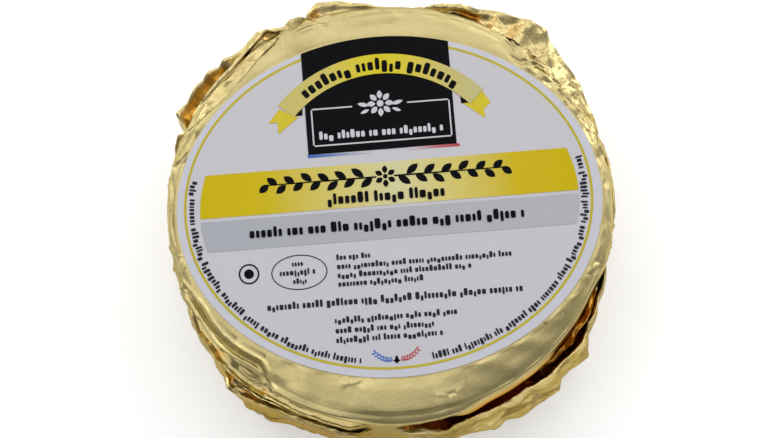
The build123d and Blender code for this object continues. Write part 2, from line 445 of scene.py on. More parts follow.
def makeSkin():
    shoulder, foot, top = puck["shoulder"], puck["foot"], puck["top"]
    arc, footArc = shoulder * math.pi / 2, foot * math.pi / 2
    wallLength = top - shoulder - foot
    rings = skinRings()
    piece, u, v = flatGrid("foilSkin", skin["around"], len(rings) - 1)
    angle = u * 2 * math.pi
    ring = np.rint(v * (len(rings) - 1)).astype(int)
    radius = wallRadius(angle)
    r, z, down, turn, outR, outZ = (np.zeros_like(u) for _ in range(6))
    for index, (kind, share) in enumerate(rings):
        here = ring == index
        full = radius[here]
        if kind == "flat":
            r[here], z[here] = (full - shoulder) * share, top
            down[here] = (full - shoulder) * (share - 1)
            outR[here], outZ[here] = 0, 1
        elif kind == "shoulder":
            bend = share * math.pi / 2
            r[here] = full - shoulder + shoulder * math.sin(bend)
            z[here] = top - shoulder + shoulder * math.cos(bend)
            down[here], turn[here] = arc * share, bend
            outR[here], outZ[here] = math.sin(bend), math.cos(bend)
        elif kind == "wall":
            r[here], z[here] = full, top - shoulder - wallLength * share
            down[here] = arc + wallLength * share
            outR[here], outZ[here] = 1, 0
        elif kind == "foot":
            bend = share * math.pi / 2
            r[here] = full - foot + foot * math.cos(bend)
            z[here] = foot - foot * math.sin(bend)
            down[here] = arc + wallLength + footArc * share
            outR[here], outZ[here] = math.cos(bend), -math.sin(bend)
        else:
            r[here], z[here] = (full - foot) * (1 - share), 0
            down[here] = arc + wallLength + footArc + (full - foot) * share
            outR[here], outZ[here] = 0, -1
    # the label holds the sheet flat under it
    farOut = np.hypot((r * np.cos(angle) - label["centreX"]) / (label["halfLength"] + label["heldOut"]),
                      (r * np.sin(angle) - label["centreY"]) / (label["halfWidth"] + label["heldOut"]))
    off = sculptSkin(angle, down, turn, smoothStep(1.0, 1.07, farOut))
    held = (1 - smoothStep(1.0, 1.014, farOut)) * (outZ > 0.3)
    off = off * (1 - held) + held * skin["underLabel"]
    # under the base the sheet's folds run in to the middle and are pressed flat
    wayIn = down - (arc + wallLength + footArc)
    fan = (np.degrees(angle) + 5 * np.sin(3 * angle)) * skin["baseFolds"] / 360 + wayIn * 0.012
    fan = np.abs(fan % 1 - 0.5) * 2
    press = smoothStep(0, 4, wayIn) * (1 - smoothStep(40, 47, wayIn))
    groove = -skin["baseGrooves"] * press * smoothStep(0.78, 1.0, fan) - skin["baseSag"] * press * fan
    off = np.where(outZ < -0.5, groove, off)
    r = r + off * outR
    z = np.maximum(z + off * outZ, 0.0)
    setPoints(piece, np.stack([r * np.cos(angle), r * np.sin(angle), z], 1))
    # painted shade where the fold, the collar or a slit keeps the light out, and where the sheet is crushed
    # small
    paintedShade = np.zeros_like(u)
    for first, last, ceiling in paintedShadeStretches:
        paintedShade = np.maximum(paintedShade, between(angle, first, last, 4) * (1 - smoothStep(ceiling - 2.0, ceiling, z)))
    for width, _, path in slits:
        paintedShade = np.maximum(paintedShade, 1 - smoothStep(width * 0.5, width, np.abs(gapTo(path, angle, down))))
    crushed = smoothStep(4, 9, down) * (1 - 0.5 * between(angle, 234, 272, 10))
    for first, last, most, low, high in crushedStretches:
        crushed = np.maximum(crushed, most * between(angle, first, last, 8) * smoothStep(low, high, down))
    for kind, strength, path in creases:
        if kind in crushedFolds:
            near = 1 - smoothStep(0.6, 2.2, np.abs(gapTo(path, angle, down)))
            crushed = np.maximum(crushed, crushedFolds[kind] * min(strength, 1.0) * near)
    markPoints(piece, "paintedShade", paintedShade)
    markPoints(piece, "crushed", crushed)
    tidyMesh(piece, gap=0.02)
    return piece


# how a leaf or a lap is made, unless its own settings say otherwise
leafDefaults = {
    "fine": 2.6,                          # columns for each millimetre along it
    "rows": 36,
    "seed": 1,
    "rumple": 0.35,                       # crumple of its face
    "gathers": 1.0,
    "ripple": 0.3,                        # rise and fall of its lip
    "webCrush": 0.0,
    "amber": [],                          # where its web gets painted amber shade: first and last angle, how much
    "amberTo": 0.23,                      # how far across the strip that goes
    # painted shade over the leaf's outer face
    "faceShade": 0.0,
    "relax": 1,
    "thick": 0.24,
    "web": 6.0,                           # how far below the lip the web starts
    "lipDrop": 0.2,                       # from the lip's outer edge down to its inner one
    "bend": 0.55,                         # height of the belly, as a share
    "tuck": 4.0,                          # how far the foot runs in under the base
}


# a strip of foil that runs along the wall. section holds, for each angle, its points as stand-off
# and height, and stops says how far across the strip each of them lies
def foldSheet(name, angles, section, stops, settings):
    settings = {**leafDefaults, **settings}
    spans = [abs(b - a) * math.pi / 180 * puck["halfLength"] for a, b in zip(angles, angles[1:])]
    cols = max(12, int(sum(spans) * settings["fine"]))
    piece, u, v = flatGrid(name, cols, settings["rows"])
    spots = np.concatenate([[0], np.cumsum(spans)]) / sum(spans)
    corner = np.zeros((len(angles), len(stops), 3))
    for i, degrees in enumerate(angles):
        turn = math.radians(degrees)
        bare = float(wallRadius(np.array(turn)))
        for k, (off, height) in enumerate(section[i]):
            corner[i, k] = ((bare + off) * math.cos(turn), (bare + off) * math.sin(turn), height)
    points = np.zeros((len(u), 3))
    for axis in range(3):
        along = np.array([np.interp(u, spots, corner[:, k, axis]) for k in range(len(stops))])
        for k in range(len(stops) - 1):
            here = (v >= stops[k]) & (v <= stops[k + 1])
            share = (v[here] - stops[k]) / (stops[k + 1] - stops[k])
            points[here, axis] = along[k][here] * (1 - share) + along[k + 1][here] * share
    angle = np.arctan2(points[:, 1], points[:, 0])
    across = angle * puck["halfLength"]
    seed = settings["seed"]
    ends = smoothStep(0.0, 0.06, u) * (1 - smoothStep(0.94, 1.0, u))
    below = points[:, 2] + v * 9
    crush = rumple(across, below, 4.6, seed) * 0.7 + rumple(across + 9, below, 2.2, seed + 1) * 0.45
    # upright gathers grow down the face, and the face is crumpled more than the lip
    gathers = 0.75 * rumple(across + 0.12 * below, across * 0 + seed, 3.1, seed + 4)
    crush += gathers * smoothStep(0.30, 0.55, v) * settings["gathers"]
    share = (0.6 + 0.6 * smoothStep(0.28, 0.5, v)) * (1 - 0.6 * smoothStep(0.85, 1.0, v))
    push = settings["rumple"] * crush * ends * share
    ripple = settings["ripple"] * ends * rumple(across, across * 0 + seed, 2.6, seed + 2)
    lift = ripple * (1 - smoothStep(0.3, 0.6, v))
    onWeb = smoothStep(0.02, 0.08, v) * (1 - smoothStep(0.2, 0.3, v))
    lift += settings["webCrush"] * ends * crush * onWeb
    points[:, 0] += push * np.cos(angle)
    points[:, 1] += push * np.sin(angle)
    points[:, 2] += lift
    points[:, 2] = np.maximum(points[:, 2], 0.14)
    setPoints(piece, points)
    # painted amber shade in the web's hollows, and painted shade over the outer face
    paintedShade = np.zeros_like(u)
    for first, last, strength in settings["amber"]:
        paintedShade = np.maximum(paintedShade, strength * between(angle, first, last, 1.6))
    amberTo = settings["amberTo"] + 0.03 * rumple(across, across * 0, 1.9, seed + 6)
    paintedShade *= 1 - smoothStep(amberTo - 0.04, amberTo + 0.02, v)
    paintedShade = np.maximum(paintedShade, settings["faceShade"] * smoothStep(0.22, 0.45, v))
    markPoints(piece, "paintedShade", paintedShade)
    tidyMesh(piece, smooth=settings["relax"])
    thicken(piece, settings["thick"], 0.0)
    points = getPoints(piece)
    points[:, 2] = np.maximum(points[:, 2], 0.0)
    setPoints(piece, points)
    return piece


# a leaf: an inner slope or web, a rolled lip and an outer face that turns in under the foot.
# each station: angle, lip's inner stand-off, lip's outer stand-off, height, belly, foot, and,
# where the web starts somewhere of its own, its stand-off and height there
def pressLeaf(name, stations, settings):
    settings = {**leafDefaults, **settings}
    section = []
    for degrees, inner, outer, height, belly, footOff, *own in stations:
        place = own[0] if own else settings.get("start")
        start, low = place or (settings.get("webTo", inner - 0.1), height - settings["web"])
        section.append([
            (start, low),
            (start + (inner - start) * 0.6, height - (height - low) * 0.55),
            (inner, height - settings["lipDrop"]),
            (outer, height),
            (outer + (belly - outer) * 0.35, height - min(2.2, height * 0.2)),
            (belly, settings["bend"] * height),
            (footOff, 3.0),
            (footOff * 0.5 - 1.2, 0.55),
            (-settings["tuck"], 0.14),
        ])
    stops = [0, 0.10, 0.22, 0.29, 0.38, 0.62, 0.85, 0.94, 1.0]
    return foldSheet(name, [station[0] for station in stations], section, stops, settings)


# a lap of the top sheet that lies over the shoulder: stand-off and rise above the top
def pressLap(name, stations, settings):
    section = [[(off, puck["top"] + rise) for off, rise in points] for _, points in stations]
    last = len(section[0]) - 1
    stops = [k / last for k in range(last + 1)]
    return foldSheet(name, [station[0] for station in stations], section, stops, settings)


# where a leaf springs from the shoulder and leaves no gap behind it
fromTop = (-1.2, 32.1)

leaves = {
    "backLeftOuterLeaf": ([
        (111, -0.6, -0.4, 29.5, -0.3, 0.2), (114.5, 0.2, 1, 30.3, 0.9, 0.8),
        (118.3, 1.5, 2.6, 31, 2.1, 1.4), (121, 2.4, 3.4, 31.6, 2.6, 1.6), (124.5, 2.1, 2.9, 31, 2.4, 1.7),
        (127.6, 1.5, 2.2, 30.3, 2.2, 1.8), (130, 2, 2.7, 29.9, 2.5, 1.8),
        (132.2, 2.6, 3.5, 30.3, 2.9, 1.8), (134, 2.5, 3.1, 29.5, 3, 1.9), (137, 3.6, 4.3, 29.4, 3.6, 2),
        (139.5, 3.5, 4, 28.8, 3.6, 2), (142, 3.9, 4.5, 28.8, 3.8, 2), (146, 3.5, 4, 28.4, 3.8, 1.8),
        (149.8, 4.1, 4.8, 28.6, 4.2, 1.4), (151.4, 1.4, 2, 27.6, 1.8, 0.8),
        (153.5, -0.6, -0.4, 25, -0.3, 0.2)],
        {"seed": 21, "rumple": 0.55, "web": 0.6, "webTo": 0.5, "webCrush": 0.25, "lipDrop": -0.1,
         "amberTo": 0.2, "amber": [(119, 121.5, 0.5), (125.5, 129.5, 0.6), (133, 151.5, 0.95)]}),
    "backLeftMiddleLeaf": ([
        (117, 0.6, 0.9, 31.2, 0.6, 0.2), (119.3, 2, 2.6, 32.3, 1.6, 0.6),
        (121.5, 1.5, 2.5, 32.3, 1.5, 0.6), (125, 0.8, 1.7, 32.2, 1.3, 0.6), (129, 0.1, 1, 32.3, 1, 0.6),
        (133, -0.5, 0.5, 32.3, 0.8, 0.6), (137, -0.4, 0.5, 32.2, 0.8, 0.7),
        (144, -0.4, 0.5, 31.7, 0.8, 0.7), (149, -0.3, 0.5, 30.8, 0.8, 0.7),
        (153, -0.7, -0.4, 29.5, -0.2, 0.1)],
        {"seed": 33, "rumple": 0.25, "ripple": 0.25, "lipDrop": -0.12}),
    "leftLip": ([
        (152, -0.6, -0.4, 28.5, -0.3, 0.1), (154.8, 0.9, 1.8, 30.2, 1, 0.5),
        (158, 0.5, 1.3, 29.6, 1.1, 0.5), (162.5, -0.6, -0.4, 28, -0.2, 0.1)],
        {"seed": 41, "rumple": 0.35, "web": 1.4, "webTo": -0.4, "amber": [(153.5, 157, 0.5)]}),
    "frontLeftInnerLeaf": ([
        (199, -0.8, -0.6, 30, -0.4, 0.1), (204, 0, 0.7, 30.2, 0.4, 0.3), (208, 1, 1.7, 29.4, 1, 0.5),
        (212, 0.7, 1.4, 29.8, 1.3, 0.6), (216.5, 1.5, 2.3, 29.6, 1.8, 0.8),
        (219, 1.2, 1.8, 29.9, 1.8, 0.9), (222, 1.7, 2.3, 29.8, 2, 1), (228, 1.7, 2.2, 29.8, 2, 1),
        (233, 1.2, 1.6, 30, 1.6, 1), (238, -0.6, -0.4, 29, -0.2, 0.1)],
        {"seed": 51, "rumple": 0.65, "webCrush": 0.55, "amber": [(214, 217, 0.45), (230, 235, 0.45)],
         "start": fromTop}),
    "frontInnerLeaf": ([
        (228, -0.7, -0.5, 29.4, -0.3, 0.2), (232, 1, 1.5, 29.9, 1.5, 0.8), (241, 1, 1.4, 29.8, 1.3, 0.8),
        (248, 1.1, 1.5, 29.3, 1.3, 0.8), (255, 1.2, 1.7, 28.8, 1.3, 0.7),
        (262, -0.7, -0.5, 29.2, -0.2, 0.1)],
        {"seed": 53, "rumple": 0.2, "ripple": 0.2, "start": fromTop}),
    "frontLeftSliver": ([
        (221, 1.5, 1.8, 27.6, 1, 0.6), (226, 2.2, 2.6, 28.8, 2, 1.4), (231, 1.9, 2.3, 28.9, 2, 1.4),
        (236, 1.5, 1.8, 28.6, 1.5, 1), (242, 1.2, 1.5, 27.6, 1.2, 1), (247, 0.8, 1.1, 26, 0.9, 0.7)],
        {"seed": 57, "rumple": 0.35, "ripple": 0.5}),
    "frontLeftOuterLeaf": ([
        (216.5, -0.6, -0.4, 24, -0.3, 0.2, (-0.9, 25.5)), (219.5, 1.6, 2.6, 26.2, 2.6, 1.4, (0.9, 27.4)),
        (222.6, 3.8, 4.8, 27.2, 3.4, 1.8, (1.2, 28.6)), (226, 3.5, 4.4, 26.8, 3.9, 2.4, (1.5, 28.4)),
        (229.5, 2.9, 3.6, 26.8, 3.8, 2.5, (1.8, 27.6)), (235, 2.2, 2.8, 26.6, 3.3, 1.9, (1.9, 24)),
        (241, 1.6, 2.3, 26.6, 2.6, 1.5, (1.1, 24.6)), (247.5, 1.7, 2.3, 26.2, 2.4, 1.3, (1.2, 24.2)),
        (253.5, 2, 2.8, 25.6, 2.4, 1.3, (1.3, 23.4)), (257, 1.9, 2.6, 24.2, 2, 0.9, (1.2, 22)),
        (261.5, -0.6, -0.3, 20.5, -0.3, 0.1, (-0.9, 20))],
        {"seed": 61, "rumple": 0.7, "ripple": 0.55, "webCrush": 0.5, "rows": 50, "fine": 3.2,
         "faceShade": 0.3, "amber": [(217, 223, 0.85), (223, 226, 0.4), (226, 259, 0.85)]}),
    "frontCollar": ([
        (266, -0.6, -0.4, 23, -0.3, 0.1, (-0.9, 26)), (270.5, 0.3, 1.5, 25.6, 1.2, 0.4, (-0.9, 25.8)),
        (274.5, 0.9, 2, 25.8, 2, 1, (-0.8, 24)), (277, 1.5, 2.2, 25.6, 2.3, 1.2, (-0.8, 23.5)),
        (278.6, 2, 2.4, 25.4, 2.6, 1.5, (-0.8, 23.5)), (280.2, 2.1, 2.4, 24.4, 2.8, 1.7, (-0.8, 23)),
        (281.8, 1.7, 2.1, 25.8, 2.9, 1.9), (285.5, 1.2, 1.6, 26.4, 3.1, 2.2),
        (291.5, 1.1, 1.5, 26.8, 3.5, 2.8), (298, 1.2, 1.6, 27, 3.9, 3.3),
        (305.5, 1.7, 2.1, 27.4, 4.5, 3.6), (311, 2.1, 2.5, 27.4, 5.6, 4), (313.5, 2, 2.4, 27.6, 3.2, 2.4),
        (316, 2.1, 2.5, 27.7, 3, 2.2), (321.8, 2.4, 2.8, 27.8, 5.2, 3.4), (324.8, 2, 2.3, 28, 2.8, 1.8),
        (328, 1.4, 1.7, 28.2, 2.2, 1.4), (331, 0.9, 1.2, 28.4, 1.8, 1.2), (338, 0.3, 0.6, 28.6, 1.3, 0.8),
        (345, -0.6, -0.4, 28, -0.3, 0.1)],
        {"seed": 73, "rumple": 0.75, "rows": 60, "fine": 3.2, "bend": 0.45, "ripple": 0.35, "web": 4.2,
         "webTo": -0.9, "amber": [(267, 309, 1), (309, 340, 0.8)]}),
    "collarPocketFold": ([
        (309, -0.6, -0.3, 25, 0.2, 0.1, (-0.9, 26.5)), (313, 0.6, 0.9, 26.6, 0.8, 0.5, (-0.4, 26.2)),
        (316.5, 0.2, 0.5, 27.2, 0.8, 0.5, (-0.4, 27.2)), (319.5, 1, 1.3, 27.6, 0.8, 0.5, (-0.4, 26.6)),
        (323, 0.2, 0.5, 27.4, 0.7, 0.4, (-0.5, 27.6)), (326.5, 0.7, 1, 28, 0.6, 0.4, (-0.5, 27)),
        (331, 0.2, 0.5, 27.8, 0.5, 0.4, (-0.6, 27.6)), (336, -0.6, -0.3, 27, -0.2, 0.1, (-0.9, 27.4))],
        {"seed": 77, "rumple": 0.25, "ripple": 0.25, "webCrush": 0.2, "amber": [(311, 335, 0.9)],
         "amberTo": 0.5}),
    "rightLeaf": ([
        (-12, -0.6, -0.4, 29, -0.3, 0.1), (-4, 0.1, 0.6, 30, 0.8, 0.5), (4, 0.2, 0.7, 30.2, 0.9, 0.5),
        (9.5, 0.5, 1, 30, 1, 0.5), (14, 0.4, 0.9, 29, 0.8, 0.4), (16, -0.6, -0.4, 28, -0.3, 0.1)],
        {"seed": 81, "rumple": 0.35}),
    "backRightEar": ([
        (12.5, -0.9, -0.7, 30.6, -0.4, 0.1, fromTop), (17, -0.3, 0.5, 30.8, 0.3, 0.2, fromTop),
        (22, 0.7, 1.5, 30.6, 0.9, 0.5, fromTop), (27.5, 1.6, 2.4, 30.4, 1.6, 0.8, fromTop),
        (33, 2.6, 3.6, 30.2, 2.3, 1.1, fromTop), (39, 2.9, 4, 30.6, 2.9, 1.3, fromTop),
        (42.5, 3.6, 4.7, 31.2, 3.4, 1.5, fromTop), (45.5, 5.3, 6.8, 32, 4.4, 1.7, (-0.9, 32)),
        (47.2, 5, 6.5, 32.2, 4.3, 1.7, (-0.7, 32)), (49.8, 4.6, 6.2, 32.3, 4.3, 1.8, (-0.35, 32)),
        (52, 4, 5.7, 32.2, 4, 1.7, (-0.6, 32)), (53.5, 3.6, 5.3, 32.2, 3.8, 1.6, (-0.9, 32)),
        (57, 3.1, 4.5, 31.9, 3.2, 1.4, (-0.7, 31.9)), (62.5, 2, 3.3, 31.7, 2.4, 1.2, (0.8, 29.6)),
        (68, 1.9, 2.9, 31.6, 2, 1, (0.7, 30)), (74, 0.6, 1.4, 31.3, 1.2, 0.7, (-0.8, 31.6)),
        (80, -0.6, -0.4, 30.3, -0.3, 0.1, (-0.9, 30.8))],
        {"seed": 91, "rumple": 0.8, "ripple": 0.55, "webCrush": 0.8, "fine": 3, "lipDrop": -0.1,
         "amber": [(50.2, 52.6, 0.4), (56.8, 58.4, 0.35), (60, 67, 0.45)]}),
    "backLip": ([
        (84, -0.6, -0.4, 30, -0.3, 0.1), (91, 0, 0.5, 31.4, 0.6, 0.3), (95, 0.4, 1.3, 31.8, 1, 0.5),
        (99.5, 1.4, 2.7, 32, 1.8, 0.8), (104.5, 2.2, 3.5, 31.8, 2, 0.8), (107.5, 1.2, 2, 31.2, 1.4, 0.6),
        (110.5, -0.6, -0.4, 30, -0.2, 0.1)],
        {"seed": 95, "rumple": 0.35, "lipDrop": -0.05, "web": 0.35, "webTo": -0.6, "webCrush": 0.3,
         "amber": [(104.8, 107.5, 0.8)]}),
    "backLeftCrest": ([
        (107, -0.6, -0.4, 30.5, -0.3, 0.1), (109.5, 0.9, 1.8, 31.6, 1.4, 0.6),
        (112.5, 0.8, 2.1, 31.6, 1.4, 0.6), (115, 0.1, 1.1, 31, 0.9, 0.4),
        (118, -0.6, -0.4, 30.2, -0.3, 0.1)],
        {"seed": 98, "rumple": 0.4, "web": 0.5, "webTo": -0.6, "webCrush": 0.4}),
}
paintedBrownShadeLeaves = ("frontCollar", "frontLeftOuterLeaf")   # their hollows get painted brown shade, not painted amber shade

laps = {
    "backLeftLap": ([
        (117.5, [(-1.0, -0.5), (-0.5, -0.9), (0.1, -1.8), (0.2, -5)]),
        (121, [(-2.0, -0.2), (-1.0, -0.35), (0.35, -1.0), (0.5, -5)]),
        (125, [(-2.7, -0.1), (-1.4, -0.15), (-0.1, -0.8), (-0.1, -4)]),
        (129, [(-3.4, 0.0), (-2.2, -0.35), (-0.6, -0.45), (-0.75, -3)]),
        (133, [(-3.9, -0.05), (-2.9, -0.1), (-1.1, -0.5), (-1.25, -3)]),
        (137, [(-4.1, 0.05), (-2.7, -0.35), (-1.05, -0.3), (-1.2, -3)]),
        (142.5, [(-3.9, 0.1), (-2.6, -0.05), (-1.05, -0.5), (-1.2, -3)]),
        (147, [(-2.6, -0.1), (-1.9, -0.3), (-1.0, -0.8), (-1.2, -2.6)]),
        (151, [(-1.6, -0.5), (-1.3, -0.6), (-1.0, -1.1), (-1.0, -2.5)]),
        (153.5, [(-0.6, -0.6), (-0.4, -0.9), (-0.3, -1.9), (-0.3, -5)])],
        {"seed": 15, "rumple": 0.22, "ripple": 0.30, "rows": 26}),
}


def newLook(name):
    look = bpy.data.materials.new(name)
    look.use_nodes = True
    nodes, links = look.node_tree.nodes, look.node_tree.links
    return look, nodes, links, nodes["Principled BSDF"]


# a number or a colour is set on a socket, and what a node puts out is linked to it
def feed(links, socket, value):
    if isinstance(value, (tuple, float, int)):
        socket.default_value = value
    else:
        links.new(value, socket)


def makeMix(nodes, links, factor, first, second, blend="MIX"):
    mix = nodes.new("ShaderNodeMix")
    mix.data_type = "RGBA"
    mix.blend_type = blend
    for socket, value in (("Factor", factor), ("A", first), ("B", second)):
        feed(links, mix.inputs[socket], value)
    return mix.outputs["Result"]


def makeSum(nodes, links, operation, *values):
    node = nodes.new("ShaderNodeMath")
    node.operation = operation
    for socket, value in zip(node.inputs, values):
        feed(links, socket, value)
    return node.outputs[0]


# turns the stretch from low to high into the one from first to last
def makeRange(nodes, links, value, low, high, first=0.0, last=1.0):
    node = nodes.new("ShaderNodeMapRange")
    sockets = ("Value", "From Min", "From Max", "To Min", "To Max")
    for socket, given in zip(sockets, (value, low, high, first, last)):
        feed(links, node.inputs[socket], given)
    return node.outputs["Result"]


def makeRamp(nodes, links, value, colours):
    ramp = nodes.new("ShaderNodeValToRGB")
    stops = ramp.color_ramp.elements
    while len(stops) < len(colours):
        stops.new(0.5)
    for stop, (spot, colour) in zip(stops, colours):
        stop.position = spot
        stop.color = colour
    links.new(value, ramp.inputs["Fac"])
    return ramp.outputs["Color"]


def addBump(nodes, links, shader, height, strength, distance):
    bump = nodes.new("ShaderNodeBump")
    bump.inputs["Strength"].default_value = strength
    bump.inputs["Distance"].default_value = distance * mm
    links.new(height, bump.inputs["Height"])
    links.new(bump.outputs["Normal"], shader.inputs["Normal"])


def makeNoise(nodes, links, place, size, detail=3):
    noise = nodes.new("ShaderNodeTexNoise")
    noise.inputs["Scale"].default_value = size
    noise.inputs["Detail"].default_value = detail
    links.new(place, noise.inputs["Vector"])
    return noise.outputs["Fac"]


foilGrain = {
    "grain": 1500,
    "cloud": 130,
    "speckle": 0.75,
    "paler": 0.20,
    "fine": 0.045,
    "facets": [(170, 2.7), (480, 0.35)],  # size and strength of the crushed facets
    "shine": 0.21,                        # how much glossier crushed foil is
}


# lacquered foil: cloudy tone, rolled grain and small crushed facets where the sheet is crushed
def foilFinishGroup():
    group = bpy.data.node_groups.new("foilFinish", "ShaderNodeTree")
    face = group.interface
    for name, start in (("Cloud", 0.45), ("Crushed", 0.0), ("Smooth", 0.30), ("Dull", 0.42)):
        socket = face.new_socket(name=name, in_out="INPUT", socket_type="NodeSocketFloat")
        socket.default_value = start
    for name in ("Pale", "Rich"):
        face.new_socket(name=name, in_out="INPUT", socket_type="NodeSocketColor")
    face.new_socket(name="Tone", in_out="OUTPUT", socket_type="NodeSocketColor")
    face.new_socket(name="Relief", in_out="OUTPUT", socket_type="NodeSocketFloat")
    face.new_socket(name="Gloss", in_out="OUTPUT", socket_type="NodeSocketFloat")
    nodes, links = group.nodes, group.links
    given, result = nodes.new("NodeGroupInput"), nodes.new("NodeGroupOutput")
    place = nodes.new("ShaderNodeTexCoord").outputs["Object"]
    grain = makeNoise(nodes, links, place, foilGrain["grain"], 3)
    cloud = makeNoise(nodes, links, place, foilGrain["cloud"], 5)
    speckle = makeSum(nodes, links, "MULTIPLY", grain, foilGrain["speckle"])
    spread = makeSum(nodes, links, "MULTIPLY_ADD", cloud, given.outputs["Cloud"], speckle)
    spread = makeSum(nodes, links, "SUBTRACT", spread, foilGrain["paler"])
    tone = makeMix(nodes, links, spread, given.outputs["Pale"], given.outputs["Rich"])
    links.new(tone, result.inputs["Tone"])
    # each cell is a small flat facet, tilted its own way
    facets = []
    for size, strength in foilGrain["facets"]:
        cell = nodes.new("ShaderNodeTexVoronoi")
        cell.inputs["Scale"].default_value = size
        links.new(place, cell.inputs["Vector"])
        offset, tilt, facet = (nodes.new("ShaderNodeVectorMath") for _ in range(3))
        offset.operation, tilt.operation, facet.operation = "SUBTRACT", "SUBTRACT", "DOT_PRODUCT"
        links.new(place, offset.inputs[0])
        links.new(cell.outputs["Position"], offset.inputs[1])
        links.new(cell.outputs["Color"], tilt.inputs[0])
        tilt.inputs[1].default_value = (0.5, 0.5, 0.5)
        links.new(offset.outputs["Vector"], facet.inputs[0])
        links.new(tilt.outputs["Vector"], facet.inputs[1])
        facets.append(makeSum(nodes, links, "MULTIPLY", facet.outputs["Value"], size * strength))
    crush = makeSum(nodes, links, "ADD", *facets)
    crush = makeSum(nodes, links, "MULTIPLY", crush, given.outputs["Crushed"])
    fine = makeSum(nodes, links, "MULTIPLY", grain, foilGrain["fine"])
    links.new(makeSum(nodes, links, "ADD", crush, fine), result.inputs["Relief"])
    gloss = makeRange(nodes, links, cloud, 0.3, 0.7, given.outputs["Smooth"], given.outputs["Dull"])
    links.new(gloss, result.inputs["Gloss"])
    return group


foilFinish = foilFinishGroup()

foilTones = {
    "pale": (0.61, 0.520, 0.255, 1),
    "rich": (0.47, 0.382, 0.158, 1),
    "foldPale": (0.66, 0.55, 0.265, 1),
    "foldRich": (0.46, 0.35, 0.135, 1),
    # painted amber shade: the warm tone of foil mirrored in foil, mixed in where the foil lies in shade
    "paintedShade": (0.58, 0.27, 0.028, 1),
    "shade": (0.30, 0.11, 0.012, 1),      # painted brown shade deep inside the collar
    "edge": (0.66, 0.54, 0.28, 1),        # how it mirrors at a glancing look
}


# the first mark names the attribute of painted shade, which is mixed into the colour; the second names the
# one that says where the foil is crushed
def makeFoil(name, pale, rich, crushed, gloss, paintedShadeMark, crushedMark=None, paintedShadeTone=foilTones["paintedShade"]):
    look, nodes, links, shader = newLook(name)

    def markOf(attribute):
        mark = nodes.new("ShaderNodeAttribute")
        mark.attribute_name = attribute
        return mark.outputs["Fac"]

    finish = nodes.new("ShaderNodeGroup")
    finish.node_tree = foilFinish
    values = {"Pale": pale, "Rich": rich, "Crushed": crushed, "Smooth": gloss[0], "Dull": gloss[1]}
    if crushedMark:
        crush = markOf(crushedMark)
        values["Crushed"] = makeSum(nodes, links, "MULTIPLY", crush, crushed)
        values["Pale"] = makeMix(nodes, links, crush, pale, foilTones["foldPale"])
        values["Rich"] = makeMix(nodes, links, crush, rich, foilTones["foldRich"])
        # crushed foil keeps its shine
        for socket in ("Smooth", "Dull"):
            values[socket] = makeSum(nodes, links, "MULTIPLY_ADD", crush, -foilGrain["shine"], values[socket])
    for socket, value in values.items():
        feed(links, finish.inputs[socket], value)
    shader.inputs["Metallic"].default_value = 1.0
    shader.inputs["Specular Tint"].default_value = foilTones["edge"]
    links.new(finish.outputs["Gloss"], shader.inputs["Roughness"])
    addBump(nodes, links, shader, finish.outputs["Relief"], 1.0, 1.0)
    # painted shade: the base colour turns to the shade tone where the mark says
    colour = makeMix(nodes, links, markOf(paintedShadeMark), finish.outputs["Tone"], paintedShadeTone)
    links.new(colour, shader.inputs["Base Color"])
    return look


goldFoil = makeFoil("goldFoil", foilTones["pale"], foilTones["rich"], 0.8, (0.34, 0.48), "paintedShade", "crushed")
foldedFoil = makeFoil("foldedFoil", foilTones["foldPale"], foilTones["foldRich"], 0.45, (0.16, 0.30), "paintedShade")
# collar foil, whose painted shade is brown
collarFoil = makeFoil("collarFoil", foilTones["foldPale"], foilTones["foldRich"], 0.75, (0.16, 0.30), "paintedShade",
                      paintedShadeTone=foilTones["shade"])


# printed paper: an ink with a faint fibre, or a run of inks along the label's length
def makePaper(name, pale, shade, roughness=0.55, gloss=0.5, run=None):
    look, nodes, links, shader = newLook(name)
    place = nodes.new("ShaderNodeTexCoord").outputs["Object"]
    fibre = makeNoise(nodes, links, place, 420, 4)
    colour = makeMix(nodes, links, fibre, pale, shade)
    if run:
        apart = nodes.new("ShaderNodeSeparateXYZ")
        links.new(place, apart.inputs["Vector"])
        where = makeRange(nodes, links, apart.outputs["X"], run["from"] * mm, run["to"] * mm)
        inks = makeRamp(nodes, links, where, run["inks"])
        colour = makeMix(nodes, links, 1.0, inks, colour, "MULTIPLY")
    links.new(colour, shader.inputs["Base Color"])
    shader.inputs["Roughness"].default_value = roughness
    shader.inputs["Specular IOR Level"].default_value = gloss
    addBump(nodes, links, shader, fibre, 0.15, 0.05)
    return look


print("pressing the foil skin")
foilSkin = makeSkin()
foilSkin.data.shade_smooth()
finishPiece(foilSkin, "foil", goldFoil)
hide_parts("foil_wrap")

print("folding the leaves")
for pressed, rows in ((pressLeaf, leaves), (pressLap, laps)):
    for leafName, (stations, settings) in rows.items():
        leaf = pressed(leafName, stations, settings)
        makeActive(leaf)
        bpy.ops.object.shade_smooth_by_angle(angle=math.radians(28))
        finishPiece(leaf, "foil", collarFoil if leafName in paintedBrownShadeLeaves else foldedFoil)

print("laying the label")


# a thin oval plate with softened rims
def ovalPlate(name, x, y, halfLength, halfWidth, low, high, softEdge=0.0):
    deselectAll()
    bpy.ops.mesh.primitive_cylinder_add(vertices=label["sides"], radius=mm, depth=(high - low) * mm,
                                        location=(x * mm, y * mm, (low + high) / 2 * mm))
    plate = bpy.context.active_object
    plate.name = name
    plate.data.name = name
    plate.scale = (halfLength, halfWidth, 1)
    bpy.ops.object.transform_apply(location=True, rotation=True, scale=True)
    if softEdge > 0:
        rim = plate.modifiers.new("rim", "BEVEL")
        rim.width = softEdge * mm
        rim.segments = 2
        applyAll(plate)
    return plate


